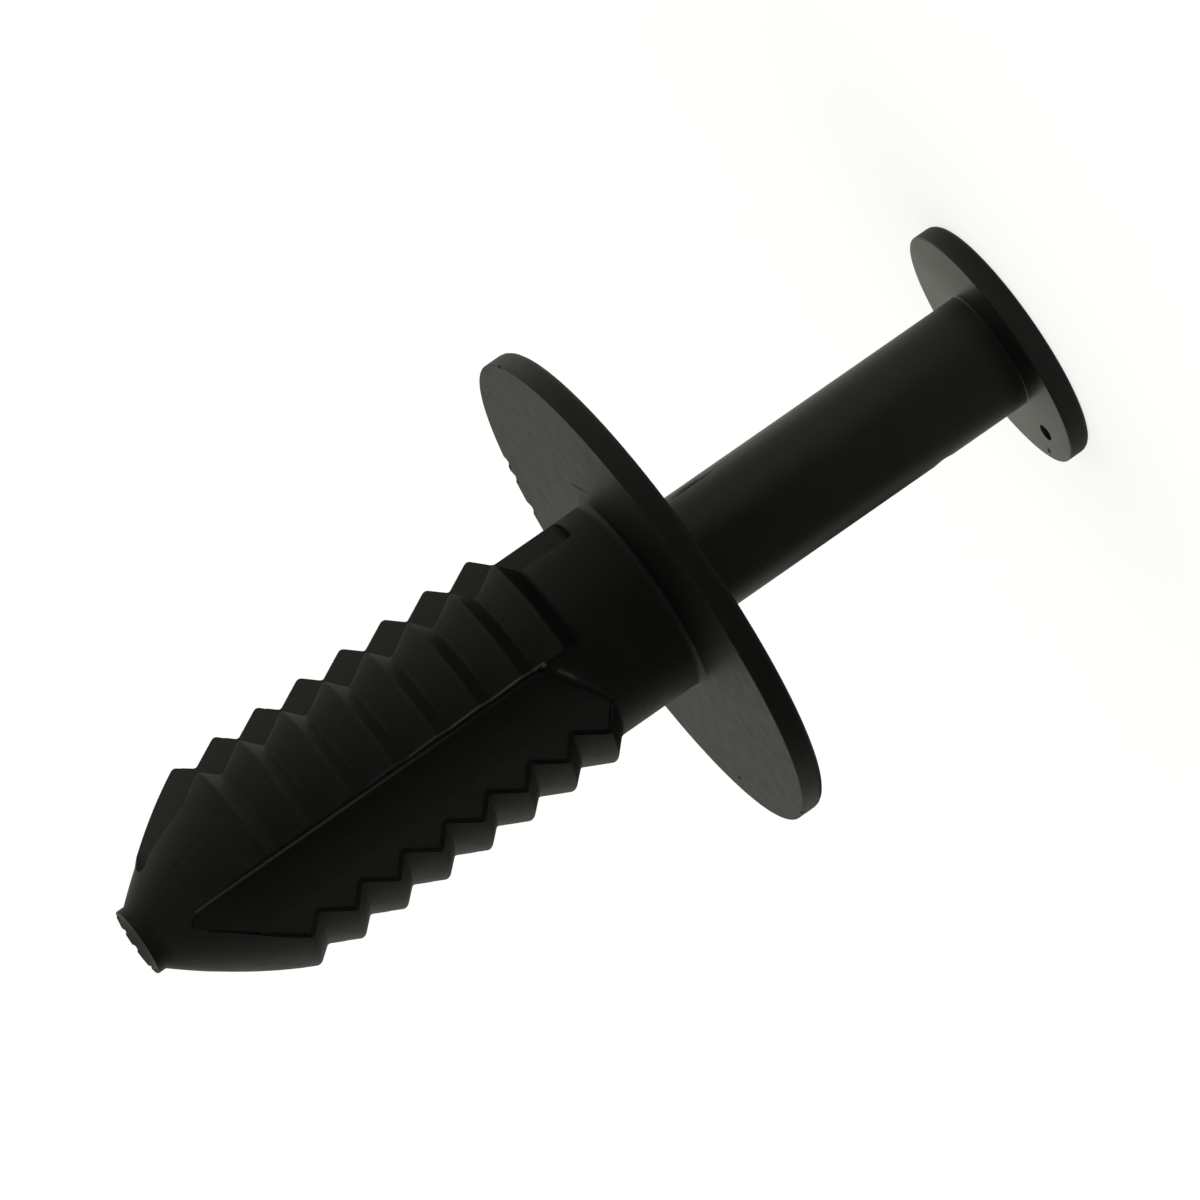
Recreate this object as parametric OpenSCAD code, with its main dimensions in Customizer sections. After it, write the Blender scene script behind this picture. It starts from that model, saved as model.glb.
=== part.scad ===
// Two-piece push rivet: a barbed sleeve with a round flange, and the headed drive pin that spreads it.
// The rivet stands on the pin's head with the sleeve's nose up.
// Millimetres, +Z along the pin, away from its head.

/* [Drive pin] */
// Diameter of the pin's shank
pin_d = 4.7; // [3.5:0.1:5.2]
// Diameter of the pin's head
head_d = 9.9; // [7:0.1:14]
// Thickness of the pin's head
head_t = 0.95; // [0.6:0.05:2]
// Rounding of the head's outer rim
head_edge_r = 0.32; // [0.05:0.01:0.4]
// Fillet where the shank meets the head
head_fillet_r = 0.15; // [0.05:0.01:0.3]
// Length of the tapered lead at the pin's tip
tip_l = 1.1; // [0.4:0.1:2]
// Diameter of the flat end of the pin's tip
tip_d = 3; // [2:0.1:3.4]
// How far the pin can be pushed in before its head meets the flange
pin_travel = 14.8; // [6:0.1:17]
// Nose material left ahead of the pin's tip when it is pushed home
pin_nose_gap = 3.45; // [3.2:0.05:5]

/* [Flange] */
// Diameter of the sleeve's flange
flange_d = 20; // [14:0.5:26]
// Thickness of the flange
flange_t = 1; // [0.7:0.05:2]
// Rounding of the flange's outer rim
flange_edge_r = 0.3; // [0.05:0.01:0.4]
// Fillet where the collar meets the flange
seat_fillet_r = 0.25; // [0.1:0.05:0.8]

/* [Collar and barbs] */
// Diameter of the plain collar next to the flange
collar_d = 7.75; // [7:0.05:7.8]
// Length of the plain collar
collar_l = 3.6; // [2.5:0.02:6]
// Number of barb rings
tooth_count = 8; // [4:1:10]
// Distance from one barb to the next
tooth_pitch = 1.88; // [1.5:0.02:2.4]
// Diameter over the barbs
crest_d = 9.1; // [8.5:0.05:9.6]
// Diameter at the bottom of the grooves
root_d = 7.9; // [7.5:0.05:8.2]
// Length of each barb's steep side, which faces the flange
return_l = 0.66; // [0.4:0.02:1]
// Width of the narrow land on each barb
crest_land = 0.1; // [0.06:0.02:0.2]
// How much nearer the nose the rear half's barbs sit
half_stagger = 0.32; // [0.1:0.02:0.5]

/* [Nose] */
// Length of the nose, from its end to the nearest barb
nose_l = 5.03; // [4:0.01:8]
// Diameter of the nose where it meets the nearest barb
nose_base_d = 8.9; // [8.2:0.05:9.05]
// Diameter of the nose's blunt end
nose_end_d = 2.7; // [2:0.1:3.4]
// Length of the straight land at the nose's end
nose_land = 0.35; // [0.1:0.05:0.8]
// How far the nose's outline swells out past a straight cone
nose_bulge = 0.22; // [0:0.02:0.4]

/* [Bore, slots and flats] */
// Running clearance between the pin and its bore, on each side
pin_clearance = 0.05; // [0.02:0.01:0.1]
// Room between the pin's tip and the bore's end when the pin is home
bore_end_gap = 0.3; // [0.1:0.05:0.5]
// Lead-in chamfer at the bore's mouth
bore_chamfer = 0.3; // [0.2:0.05:0.6]
// Width of each slot between the two halves of the sleeve
slot_w = 2.28; // [1.2:0.02:2.34]
// Distance of each slot's floor from the axis, where it runs on past the bore
slot_floor = 0.6; // [0.2:0.1:1]
// Width of each slot at its nose end, where it narrows with the nose
slot_tip_w = 1.2; // [0.6:0.05:1.6]
// Length of the narrowing stretch at a slot's nose end
slot_taper_l = 2.5; // [1.2:0.1:3]
// Corner rounding of a slot at its collar end
slot_corner_r = 0.3; // [0.1:0.05:0.5]
// Nose left whole ahead of each slot
slot_nose_gap = 1.4; // [1.2:0.1:3]
// Collar left whole behind each slot
slot_seat_gap = 1.2; // [0.8:0.1:2.5]
// Distance of each moulded flat from the axis
flat_floor = 2.77; // [2.7:0.01:3.2]
// How far the barbed leg beside a flat reaches past the middle
flat_side = 0.18; // [0.02:0.02:0.8]
// Nose left whole ahead of each flat
flat_nose_gap = 1.6; // [1.4:0.1:3]
// How much deeper a flat runs at its nose end
flat_dip = 0.6; // [0.2:0.05:0.8]
// Length of the sloping stretch at a flat's nose end
flat_dip_l = 2.05; // [1:0.05:2.4]
// Collar left whole behind each flat
flat_seat_gap = 3.5; // [2:0.1:4]
// How much further from the flange a flat ends beside the barbed leg
flat_slant_l = 1.6; // [0.4:0.1:2.2]
// Corner rounding of a flat at its nose end
flat_nose_r = 0.45; // [0.2:0.05:0.8]

/* [Hidden] */
$fn = 96;
plastic = [0.09, 0.09, 0.095];

// Radii
pin_r = pin_d / 2;
head_r = head_d / 2;
flange_r = flange_d / 2;
collar_r = collar_d / 2;
crest_r = crest_d / 2;
root_r = root_d / 2;
bore_r = pin_r + pin_clearance;
flange_rim_r = min(flange_edge_r, 0.45 * flange_t);
head_rim_r = min(head_edge_r, 0.45 * head_t);

// Heights in the sleeve's own frame, from the flange's seating face towards the nose
first_crest = collar_l + return_l;
last_crest = first_crest + (tooth_count - 1) * tooth_pitch;
nose_end = last_crest + nose_l;
ramp_l = tooth_pitch - return_l;

// The pin's length follows the sleeve, and the bore follows the pin
pin_l = flange_t + nose_end - pin_nose_gap;
bore_end = nose_end - pin_nose_gap + bore_end_gap;

// Height of the flange's seating face above the ground, with the pin drawn out
seat_z = head_t + pin_travel + flange_t;

// Cutters reach past the surfaces that they cut by this much
over = 0.2;
stem_r = max(crest_r, nose_base_d / 2 + nose_bulge);
reach = stem_r + over;
nose_steps = 10;
bend_steps = 6;

// Step between the collar and the plain surface that carries on past it beside a flat's end
collar_step = 0.03;

// The slots' middles, where the two staggered rows of barbs part
seam_angle = asin(slot_w / 2 / crest_r);

// Radius of the nose's outline at a share of the way from its land to the nearest barb
function nose_r(share) = nose_end_d / 2
    + share * (nose_base_d - nose_end_d) / 2
    + 4 * nose_bulge * share * (1 - share);

// Outline of a disc with a rounded lower rim, from the axis out, with its lower face at height zero
module disc_outline(r, t, rim_r) {
    square([r - rim_r, t]);
    translate([0, rim_r]) square([r, t - rim_r]);
    translate([r - rim_r, rim_r]) circle(rim_r);
}

// Concave fillet on the outside corner between a shaft of radius r and the face below it
module fillet_outline(r, fillet_r) {
    difference() {
        translate([r - over, 0]) square([fillet_r + over, fillet_r]);
        translate([r + fillet_r, fillet_r]) circle(fillet_r);
    }
}

// Outline of the sleeve before its grooves are cut: collar, plain barb cylinder and nose
module sleeve_outline() {
    nose_run = nose_l - nose_land;
    polygon(concat(
        [[0, -flange_t / 2], [collar_r, -flange_t / 2], [collar_r, collar_l], [crest_r, collar_l],
         [crest_r, last_crest - tooth_pitch]],
        [for (i = [nose_steps:-1:0])
            [nose_r(i / nose_steps), nose_end - nose_land - nose_run * i / nose_steps]],
        [[nose_end_d / 2, nose_end], [0, nose_end]]));
}

// One groove: a gentle ramp away from a barb, down to the root, and the steep side of the next barb
module groove_outline(crest_z) {
    ramp_slope = (ramp_l - crest_land / 2) / (crest_r - root_r);
    return_slope = (return_l - crest_land / 2) / (crest_r - root_r);
    rise = reach - crest_r;
    polygon([
        [root_r, crest_z + ramp_l],
        [reach, crest_z + crest_land / 2 - rise * ramp_slope],
        [reach, crest_z + tooth_pitch - crest_land / 2 + rise * return_slope]]);
}

// The steep side of the barb nearest the flange, down to the collar
module collar_return_outline(crest_z) {
    return_slope = (return_l - crest_land / 2) / (crest_r - collar_r);
    rise = reach - crest_r;
    polygon([
        [collar_r, collar_l],
        [reach, collar_l - over],
        [reach, crest_z - crest_land / 2 + rise * return_slope],
        [collar_r, crest_z - return_l]]);
}

// All grooves of one half of the sleeve, as half rings
module half_grooves(stagger) {
    for (i = [0:tooth_count - 2])
        rotate_extrude(angle = 180) groove_outline(first_crest + stagger + i * tooth_pitch);
    rotate_extrude(angle = 180) collar_return_outline(first_crest + stagger);
}

// Outline of a slot seen along its depth: straight beside the barbs and narrower in the nose
module slot_outline() {
    tip_r = slot_tip_w / 2;
    low = slot_seat_gap + slot_corner_r;
    high = nose_end - slot_nose_gap - tip_r;
    bend = nose_end - slot_nose_gap - slot_taper_l;
    polygon([[0, low], [0, high], [-slot_tip_w, high], [-slot_w, bend], [-slot_w, low]]);
    translate([-tip_r, high]) circle(tip_r);
    translate([slot_corner_r - slot_w, slot_seat_gap])
        square([slot_w - 2 * slot_corner_r, 2 * slot_corner_r]);
    for (y = [-slot_corner_r, slot_corner_r - slot_w]) translate([y, low]) circle(slot_corner_r);
}

// Slot that parts the two halves, beside the axis plane
module slot() {
    translate([slot_floor, 0, 0]) rotate([90, 0, 90]) linear_extrude(height = reach) slot_outline();
}

// Square less its quarter round, to round one corner of a cutter's outline
module corner_outline(r) {
    difference() {
        translate([-r, 0]) square([r + over, r]);
        translate([-r, r]) circle(r);
    }
}

// Section of a flat along the sleeve: level beside the barbs, and bending in at the nose
module flat_section() {
    high = nose_end - flat_nose_gap;
    bend = high - flat_dip_l;
    polygon(concat(
        [[flat_floor, flat_seat_gap - over]],
        [for (i = [0:bend_steps]) [
            flat_floor - flat_dip * pow(i / bend_steps, 2),
            bend + flat_dip_l * i / bend_steps]],
        [[flat_floor - flat_dip, high + over], [reach + over, high + over],
         [reach + over, flat_seat_gap - over]]));
}

// Flat seen from outside: a slanting end that runs out in the collar, and a round corner in the nose
module flat_outline() {
    high = nose_end - flat_nose_gap;
    runout = sqrt(pow(collar_r, 2) - pow(flat_floor, 2));
    difference() {
        polygon([
            [-flat_side, high], [-flat_side, flat_seat_gap + flat_slant_l], [-runout, flat_seat_gap],
            [-reach - over, flat_seat_gap], [-reach - over, high]]);
        translate([-flat_side, high]) mirror([0, 1]) corner_outline(flat_nose_r);
    }
}

// Barbs left off between the collar and a flat's slanting end
module barb_gap() {
    far = reach + over;
    translate([0, 0, flat_seat_gap]) difference() {
        translate([-far, -far, 0]) cube([far - flat_side, far - flat_floor, flat_slant_l + over]);
        translate([0, 0, -over]) cylinder(r = collar_r + collar_step, h = flat_slant_l + 3 * over);
    }
}

// Flat moulded beside the barbed leg
module flat() {
    intersection() {
        rotate([90, 0, -90]) linear_extrude(height = reach) flat_section();
        rotate([90, 0, 0]) linear_extrude(height = reach + 2 * over) flat_outline();
    }
    barb_gap();
}

// Bore for the pin: chamfered mouth, straight run, and a tapered end round the pin's tip
module bore() {
    mouth_r = bore_r + bore_chamfer;
    rotate_extrude() polygon([
        [0, -flange_t - over], [mouth_r + over, -flange_t - over], [bore_r, -flange_t + bore_chamfer],
        [bore_r, bore_end - tip_l], [tip_d / 2 + pin_clearance, bore_end], [0, bore_end]]);
}

// Sleeve with its bore and grooves, before it is split
module barbed_sleeve() {
    rotate([0, 0, -seam_angle]) difference() {
        rotate_extrude() {
            translate([0, -flange_t]) disc_outline(flange_r, flange_t, flange_rim_r);
            fillet_outline(collar_r, seat_fillet_r);
            sleeve_outline();
        }
        bore();
        rotate([0, 0, 180]) half_grooves(0);
        half_grooves(half_stagger);
    }
}

// The sleeve: flange, collar, barbed halves and nose in one moulding
module rivet_body() {
    color(plastic) translate([0, 0, seat_z]) difference() {
        barbed_sleeve();
        for (turn = [0, 180]) rotate([0, 0, turn]) {
            slot();
            flat();
        }
    }
}

// The drive pin: round head, straight shank and tapered tip
module drive_pin() {
    tip_z = head_t + pin_l;
    color(plastic) rotate_extrude() {
        disc_outline(head_r, head_t, head_rim_r);
        translate([0, head_t]) fillet_outline(pin_r, head_fillet_r);
        polygon([
            [0, head_t / 2], [pin_r, head_t / 2], [pin_r, tip_z - tip_l], [tip_d / 2, tip_z], [0, tip_z]]);
    }
}

rivet_body();
drive_pin();
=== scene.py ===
"""Black plastic push rivet: a barbed sleeve with a round flange, and the headed drive pin that slides in."""

import logging
import math
from dataclasses import dataclass, field
from enum import Enum
from typing import Callable, Iterable, NamedTuple

import bmesh
import bpy
from mathutils import Matrix, Vector


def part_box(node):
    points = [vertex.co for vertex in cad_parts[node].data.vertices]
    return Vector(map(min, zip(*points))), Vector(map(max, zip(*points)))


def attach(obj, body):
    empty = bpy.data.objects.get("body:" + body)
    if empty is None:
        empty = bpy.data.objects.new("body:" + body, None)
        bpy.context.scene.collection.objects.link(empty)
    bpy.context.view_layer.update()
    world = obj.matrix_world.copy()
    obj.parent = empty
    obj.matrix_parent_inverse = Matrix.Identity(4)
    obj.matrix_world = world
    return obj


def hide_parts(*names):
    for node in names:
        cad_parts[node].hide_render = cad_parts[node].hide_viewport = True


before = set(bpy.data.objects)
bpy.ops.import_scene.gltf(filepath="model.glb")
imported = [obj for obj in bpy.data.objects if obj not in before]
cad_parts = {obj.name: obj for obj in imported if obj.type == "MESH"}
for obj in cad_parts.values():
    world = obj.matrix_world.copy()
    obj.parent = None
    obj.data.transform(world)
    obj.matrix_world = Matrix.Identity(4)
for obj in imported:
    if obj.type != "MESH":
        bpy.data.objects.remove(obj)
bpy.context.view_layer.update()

LOG = logging.getLogger("push_rivet")
# Name of the face attribute that carries painted light: painted highlights and painted lifting of shade
PAINTED_LIGHT = "painted_light"
UP = Vector((0.0, 0.0, 1.0))
INWARD = Vector((0.0, 1.0, 0.0))
# A slanting direction along which hardly any two points lie level, to sort them by
SORT_WAY = Vector((0.31, 0.53, 0.79))

# One millimetre, in metres
MM = 0.001
# Points closer than this are merged, in mm
SAME_POINT = 1e-4
# Points closer than this to a plane or an edge lie on it, in mm
ON_PLANE = 1e-5
# Crumbs that a Boolean leaves are smaller than this, in mm
CUT_CRUMB = 2e-3
# What stays flat between two roundings that would otherwise meet, in mm
HAIR = 1e-3
# How far a cutter reaches past what it cuts, in mm
CLEAR = 1.0
# Segments of a cutter's rounded edge
EDGE_SEGMENTS = 12
# Cosines from which a face looks straight, mostly, partly or a little towards a direction
STRAIGHT = 0.9
MOSTLY = 0.75
PARTLY = 0.4
A_LITTLE = 0.3

Pair = tuple[float, float]
Triple = tuple[float, float, float]


class Body(Enum):
    """The rigid bodies that pieces ride on."""

    SLEEVE = "sleeve"
    PIN = "pin"


class Slot(Enum):
    """The record's material slots."""

    SLEEVE = "sleeve_plastic"
    PIN = "pin_plastic"


class Combine(Enum):
    """How a Boolean joins a piece with another shape."""

    ADD = "UNION"
    CUT_AWAY = "DIFFERENCE"
    KEEP_SHARED = "INTERSECT"


class Corner(NamedTuple):
    """A corner of a turned outline: radius, height and how far from it its rounding starts, in mm."""

    r: float
    z: float
    rounding: float = 0.0


@dataclass(frozen=True)
class MouldedPlastic:
    """Finish of a moulded black plastic surface."""

    name: str
    colour: Triple
    worn_colour: Triple
    roughness: Pair
    # Colour mixed in where light is painted into faces
    painted_light_colour: Triple = (0.036, 0.036, 0.036)
    ior: float = 1.5
    cloud_scale: float = 1500.0
    cloud_detail: float = 6.0
    cloud_roughness: float = 0.6
    gloss_range: Pair = (0.3, 0.7)
    tint_range: Pair = (0.35, 0.75)
    grain_scale: float = 9000.0
    grain_detail: float = 3.0
    grain_depth: float = 0.0015 * MM

    def build(self) -> bpy.types.Material:
        """Make the node material.

        Returns:
            The finished material, which reads Object coordinates and the light painted into the piece's
            faces.
        """
        material = bpy.data.materials.new(self.name)
        material.use_nodes = True
        nodes, links = material.node_tree.nodes, material.node_tree.links
        shader = nodes["Principled BSDF"]
        shader.inputs["IOR"].default_value = self.ior
        place = nodes.new("ShaderNodeTexCoord")

        clouds = nodes.new("ShaderNodeTexNoise")
        clouds.inputs["Scale"].default_value = self.cloud_scale
        clouds.inputs["Detail"].default_value = self.cloud_detail
        clouds.inputs["Roughness"].default_value = self.cloud_roughness
        links.new(place.outputs["Object"], clouds.inputs["Vector"])

        gloss = nodes.new("ShaderNodeMapRange")
        gloss.inputs["From Min"].default_value = self.gloss_range[0]
        gloss.inputs["From Max"].default_value = self.gloss_range[1]
        gloss.inputs["To Min"].default_value = self.roughness[0]
        gloss.inputs["To Max"].default_value = self.roughness[1]
        links.new(clouds.outputs["Fac"], gloss.inputs["Value"])
        links.new(gloss.outputs["Result"], shader.inputs["Roughness"])

        tint = nodes.new("ShaderNodeValToRGB")
        colours = (self.colour, self.worn_colour)
        for stop, position, colour in zip(tint.color_ramp.elements, self.tint_range, colours):
            stop.position = position
            stop.color = (*colour, 1.0)
        links.new(clouds.outputs["Fac"], tint.inputs["Fac"])
        # Painted light: faces marked in the attribute are mixed towards a paler colour as painted highlights
        # and lifted shade
        painted_light = nodes.new("ShaderNodeAttribute")
        painted_light.attribute_name = PAINTED_LIGHT
        surface = nodes.new("ShaderNodeMixRGB")
        surface.inputs["Color2"].default_value = (*self.painted_light_colour, 1.0)
        links.new(painted_light.outputs["Fac"], surface.inputs["Fac"])
        links.new(tint.outputs["Color"], surface.inputs["Color1"])
        links.new(surface.outputs["Color"], shader.inputs["Base Color"])

        grain = nodes.new("ShaderNodeTexNoise")
        grain.inputs["Scale"].default_value = self.grain_scale
        grain.inputs["Detail"].default_value = self.grain_detail
        links.new(place.outputs["Object"], grain.inputs["Vector"])
        bump = nodes.new("ShaderNodeBump")
        bump.inputs["Strength"].default_value = 1.0
        bump.inputs["Distance"].default_value = self.grain_depth
        links.new(grain.outputs["Fac"], bump.inputs["Height"])
        links.new(bump.outputs["Normal"], shader.inputs["Normal"])
        return material


def fade(value: float, start: float, full: float) -> float:
    """Return 0 at the start, 1 from full on, and a straight line between."""
    return min(1.0, max(0.0, (value - start) / (full - start)))


def radial(place: Vector) -> Vector:
    """Return the direction straight out from the axis at a place."""
    return Vector((place.x, place.y, 0.0)).normalized()


def turned_mesh(bm: bmesh.types.BMesh, corners: list[Corner], steps: int, arc_segments: int) -> None:
    """Spin an outline round the Z axis into a closed skin.

    Args:
        bm: The empty bmesh to fill.
        corners: The outline, from the axis back to the axis, in mm.
        steps: How many columns go round the axis.
        arc_segments: How many segments each rounded corner gets.
    """
    verts = [bm.verts.new((c.r, 0.0, c.z)) for c in corners]
    for low, high in zip(verts, verts[1:]):
        bm.edges.new((low, high))
    for rounding in sorted({c.rounding for c in corners if c.rounding > 0.0}):
        chosen = [v for v, c in zip(verts, corners) if c.rounding == rounding]
        bmesh.ops.bevel(bm, geom=chosen, offset=rounding, offset_type="OFFSET", segments=arc_segments,
                        profile=0.5, affect="VERTICES", clamp_overlap=False, material=-1)
    bmesh.ops.spin(bm, geom=bm.verts[:] + bm.edges[:], cent=(0, 0, 0), axis=(0, 0, 1), dvec=(0, 0, 0),
                   angle=math.tau, steps=steps, use_merge=True, use_duplicate=False)
    bmesh.ops.remove_doubles(bm, verts=bm.verts[:], dist=SAME_POINT)
    bmesh.ops.recalc_face_normals(bm, faces=bm.faces[:])


def turn_about_axis(bm: bmesh.types.BMesh, angle: float) -> None:
    """Turn a mesh about the Z axis by an angle in radians."""
    bmesh.ops.rotate(bm, cent=(0, 0, 0), matrix=Matrix.Rotation(angle, 3, "Z"), verts=bm.verts[:])


def make_object(name: str, bm: bmesh.types.BMesh) -> bpy.types.Object:
    """Turn a bmesh in millimetres into an object in metres, and free the bmesh.

    Args:
        name: The object's name.
        bm: The mesh, in millimetres.

    Returns:
        The new object, linked to the scene, at the origin.
    """
    bmesh.ops.scale(bm, vec=(MM, MM, MM), verts=bm.verts[:])
    mesh = bpy.data.meshes.new(name)
    bm.to_mesh(mesh)
    bm.free()
    piece = bpy.data.objects.new(name, mesh)
    bpy.context.scene.collection.objects.link(piece)
    return piece


def evaluated_copy(piece: bpy.types.Object) -> bpy.types.Mesh:
    """Copy a piece's mesh with its modifiers applied.

    Args:
        piece: The piece to copy from.

    Returns:
        The new mesh.
    """
    bpy.context.view_layer.update()
    depsgraph = bpy.context.evaluated_depsgraph_get()
    return bpy.data.meshes.new_from_object(piece.evaluated_get(depsgraph))


def combine(piece: bpy.types.Object, others: Iterable[bpy.types.Object], how: Combine) -> None:
    """Join shapes with a piece by Booleans and delete them.

    Args:
        piece: The piece that is changed.
        others: The closed shapes that change it.
        how: Whether the shapes are added, cut away, or only what they share with the piece is kept.
    """
    others = list(others)
    for other in others:
        step = piece.modifiers.new("combine", "BOOLEAN")
        step.operation = how.value
        step.solver = "EXACT"
        step.object = other
    old = piece.data
    piece.data = evaluated_copy(piece)
    piece.modifiers.clear()
    bpy.data.meshes.remove(old)
    for other in others:
        bpy.data.meshes.remove(other.data)


def prism(outline: list[Vector], depth: Vector) -> bmesh.types.BMesh:
    """Extrude a flat outline into a closed solid.

    Args:
        outline: The outline's points in order, in mm.
        depth: How far and which way it is extruded, in mm.

    Returns:
        A new bmesh of the solid.
    """
    bm = bmesh.new()
    face = bm.faces.new([bm.verts.new(point) for point in outline])
    side = bmesh.ops.extrude_face_region(bm, geom=[face])
    moved = [v for v in side["geom"] if isinstance(v, bmesh.types.BMVert)]
    bmesh.ops.translate(bm, vec=depth, verts=moved)
    bmesh.ops.recalc_face_normals(bm, faces=bm.faces[:])
    return bm


def round_edges(bm: bmesh.types.BMesh, along: int, corners: dict[Triple, float]) -> None:
    """Round edges of a prism that run along one axis.

    Args:
        bm: The prism, in mm.
        along: The axis that the edges run along: 0, 1 or 2.
        corners: The rounding of each edge, by a point on it.
    """
    across = [i for i in range(3) if i != along]
    for corner, rounding in corners.items():
        chosen = [e for e in bm.edges
                  if all(abs(v.co[i] - corner[i]) < ON_PLANE for v in e.verts for i in across)]
        bmesh.ops.bevel(bm, geom=chosen, offset=rounding, offset_type="OFFSET", segments=EDGE_SEGMENTS,
                        profile=0.5, affect="EDGES", clamp_overlap=False, material=-1)


def smooth_shade(piece: bpy.types.Object, sharp_angle: float) -> None:
    """Shade a piece smooth, with edges past an angle kept sharp.

    Args:
        piece: The piece to shade.
        sharp_angle: The angle in degrees between two faces from which their edge is sharp.
    """
    bm = bmesh.new()
    bm.from_mesh(piece.data)
    for face in bm.faces:
        face.smooth = True
    limit = math.radians(sharp_angle)
    for edge in bm.edges:
        edge.smooth = len(edge.link_faces) == 2 and edge.calc_face_angle() < limit
    bm.to_mesh(piece.data)
    bm.free()
    weighted = piece.modifiers.new("weighted", "WEIGHTED_NORMAL")
    weighted.keep_sharp = True


def clean_cuts(bm: bmesh.types.BMesh) -> None:
    """Merge the stray points that Booleans leave, sorted first so that each run merges the same ones.

    Args:
        bm: The mesh after its cuts, in mm.
    """
    bm.verts.sort(key=lambda v: v.co.dot(SORT_WAY))
    bm.edges.sort(key=lambda e: (e.verts[0].co + e.verts[1].co).dot(SORT_WAY))
    bm.faces.sort(key=lambda f: f.calc_center_median().dot(SORT_WAY))
    bmesh.ops.remove_doubles(bm, verts=bm.verts[:], dist=CUT_CRUMB)
    bmesh.ops.dissolve_degenerate(bm, edges=bm.edges[:], dist=SAME_POINT)


def split_faces(bm: bmesh.types.BMesh, faces: list[bmesh.types.BMFace], square: Vector,
                place: Vector) -> None:
    """Split faces where a plane crosses them.

    Args:
        bm: The mesh, in mm.
        faces: The faces to split.
        square: A direction square to the plane.
        place: A point on the plane.
    """
    edges = [e for f in faces for e in f.edges]
    verts = [v for f in faces for v in f.verts]
    parts = list(dict.fromkeys([*faces, *edges, *verts]))
    bmesh.ops.bisect_plane(bm, geom=parts, dist=ON_PLANE, plane_no=square, plane_co=place)


@dataclass(frozen=True)
class EasedEdge:
    """A long edge that is rounded where a plane cut a surface, and may carry a painted highlight. Sizes are
    in mm.
    """

    on_plane: Vector
    into_surface: Vector
    push: Vector
    widest: float
    share: Callable[[float], float]
    chosen: Callable[[Vector, Vector], bool]
    # Painted highlight on the rounding: its strength by height, the share of the rounding it covers, and the
    # height where it is split off
    painted_light_level: Callable[[float], float] = lambda z: 0.0
    painted_light_share: float = 1.0
    painted_light_end: float | None = None
    steps: int = 3

    def depth(self, place: Vector) -> float:
        """Return how far a point lies from the plane, towards the surface that is rounded."""
        return (place - self.on_plane).dot(self.into_surface)

    def faces(self, bm: bmesh.types.BMesh, margin: float) -> list[bmesh.types.BMFace]:
        """Find the faces of the rounded surface that come near the plane.

        Args:
            bm: The mesh, in mm.
            margin: How near a face has to come, in mm.

        Returns:
            The faces.
        """
        return [f for f in bm.faces
                if self.depth(f.calc_center_median()) > 0.0
                and min(self.depth(v.co) for v in f.verts) < margin
                and self.chosen(f.calc_center_median(), f.normal)]

    def apply(self, bm: bmesh.types.BMesh) -> None:
        """Split the surface beside the plane, paint the highlight onto the faces nearest it, and pull it
        round.

        Args:
            bm: The mesh, in mm.
        """
        for i in range(1, self.steps + 1):
            shift = self.widest * (1.0 - math.cos(0.5 * math.pi * i / self.steps))
            place = self.on_plane + self.into_surface * shift
            split_faces(bm, self.faces(bm, shift), self.into_surface, place)
        if self.painted_light_end is not None:
            split_faces(bm, self.faces(bm, self.widest), UP, UP * self.painted_light_end)
        bm.normal_update()
        rounded = self.faces(bm, self.widest)
        # Painted highlight on the rounded faces nearest the plane
        painted_light = bm.faces.layers.float[PAINTED_LIGHT]
        for face in rounded:
            middle = face.calc_center_median()
            if self.depth(middle) < self.widest * self.painted_light_share:
                face[painted_light] = max(face[painted_light], self.painted_light_level(middle.z))
        for vert in {v for f in rounded for v in f.verts}:
            radius = self.widest * self.share(vert.co.z)
            inside = radius - max(0.0, self.depth(vert.co))
            if inside > 0.0:
                vert.co += self.push * (radius - math.sqrt(max(0.0, radius**2 - inside**2)))


@dataclass(frozen=True)
class Blemish:
    """A small dent or bump: an ellipsoid's middle and half sizes in mm, and its turn about Z in degrees."""

    place: Triple
    half: Triple
    turn: float = 0.0
    columns: int = 20
    rows: int = 12

    def build(self) -> bpy.types.Object:
        """Make the ellipsoid.

        Returns:
            The closed shape, as an object.
        """
        bm = bmesh.new()
        bmesh.ops.create_uvsphere(bm, u_segments=self.columns, v_segments=self.rows, radius=1.0)
        bmesh.ops.scale(bm, vec=self.half, verts=bm.verts[:])
        turn_about_axis(bm, math.radians(self.turn))
        bmesh.ops.translate(bm, vec=self.place, verts=bm.verts[:])
        return make_object("blemish", bm)


def ring_of_blemishes(radius: float, z: float, half: Triple, azimuths: Iterable[float]) -> list[Blemish]:
    """Place equal blemishes round the axis.

    Args:
        radius: Their distance from the axis, in mm.
        z: Their height, in mm.
        half: Their half sizes outward, round the axis and up, in mm.
        azimuths: Where they lie round the axis, in degrees.

    Returns:
        The blemishes.
    """
    ring = []
    for azimuth in azimuths:
        angle = math.radians(azimuth)
        ring.append(Blemish((radius * math.cos(angle), radius * math.sin(angle), z), half, azimuth))
    return ring


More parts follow.
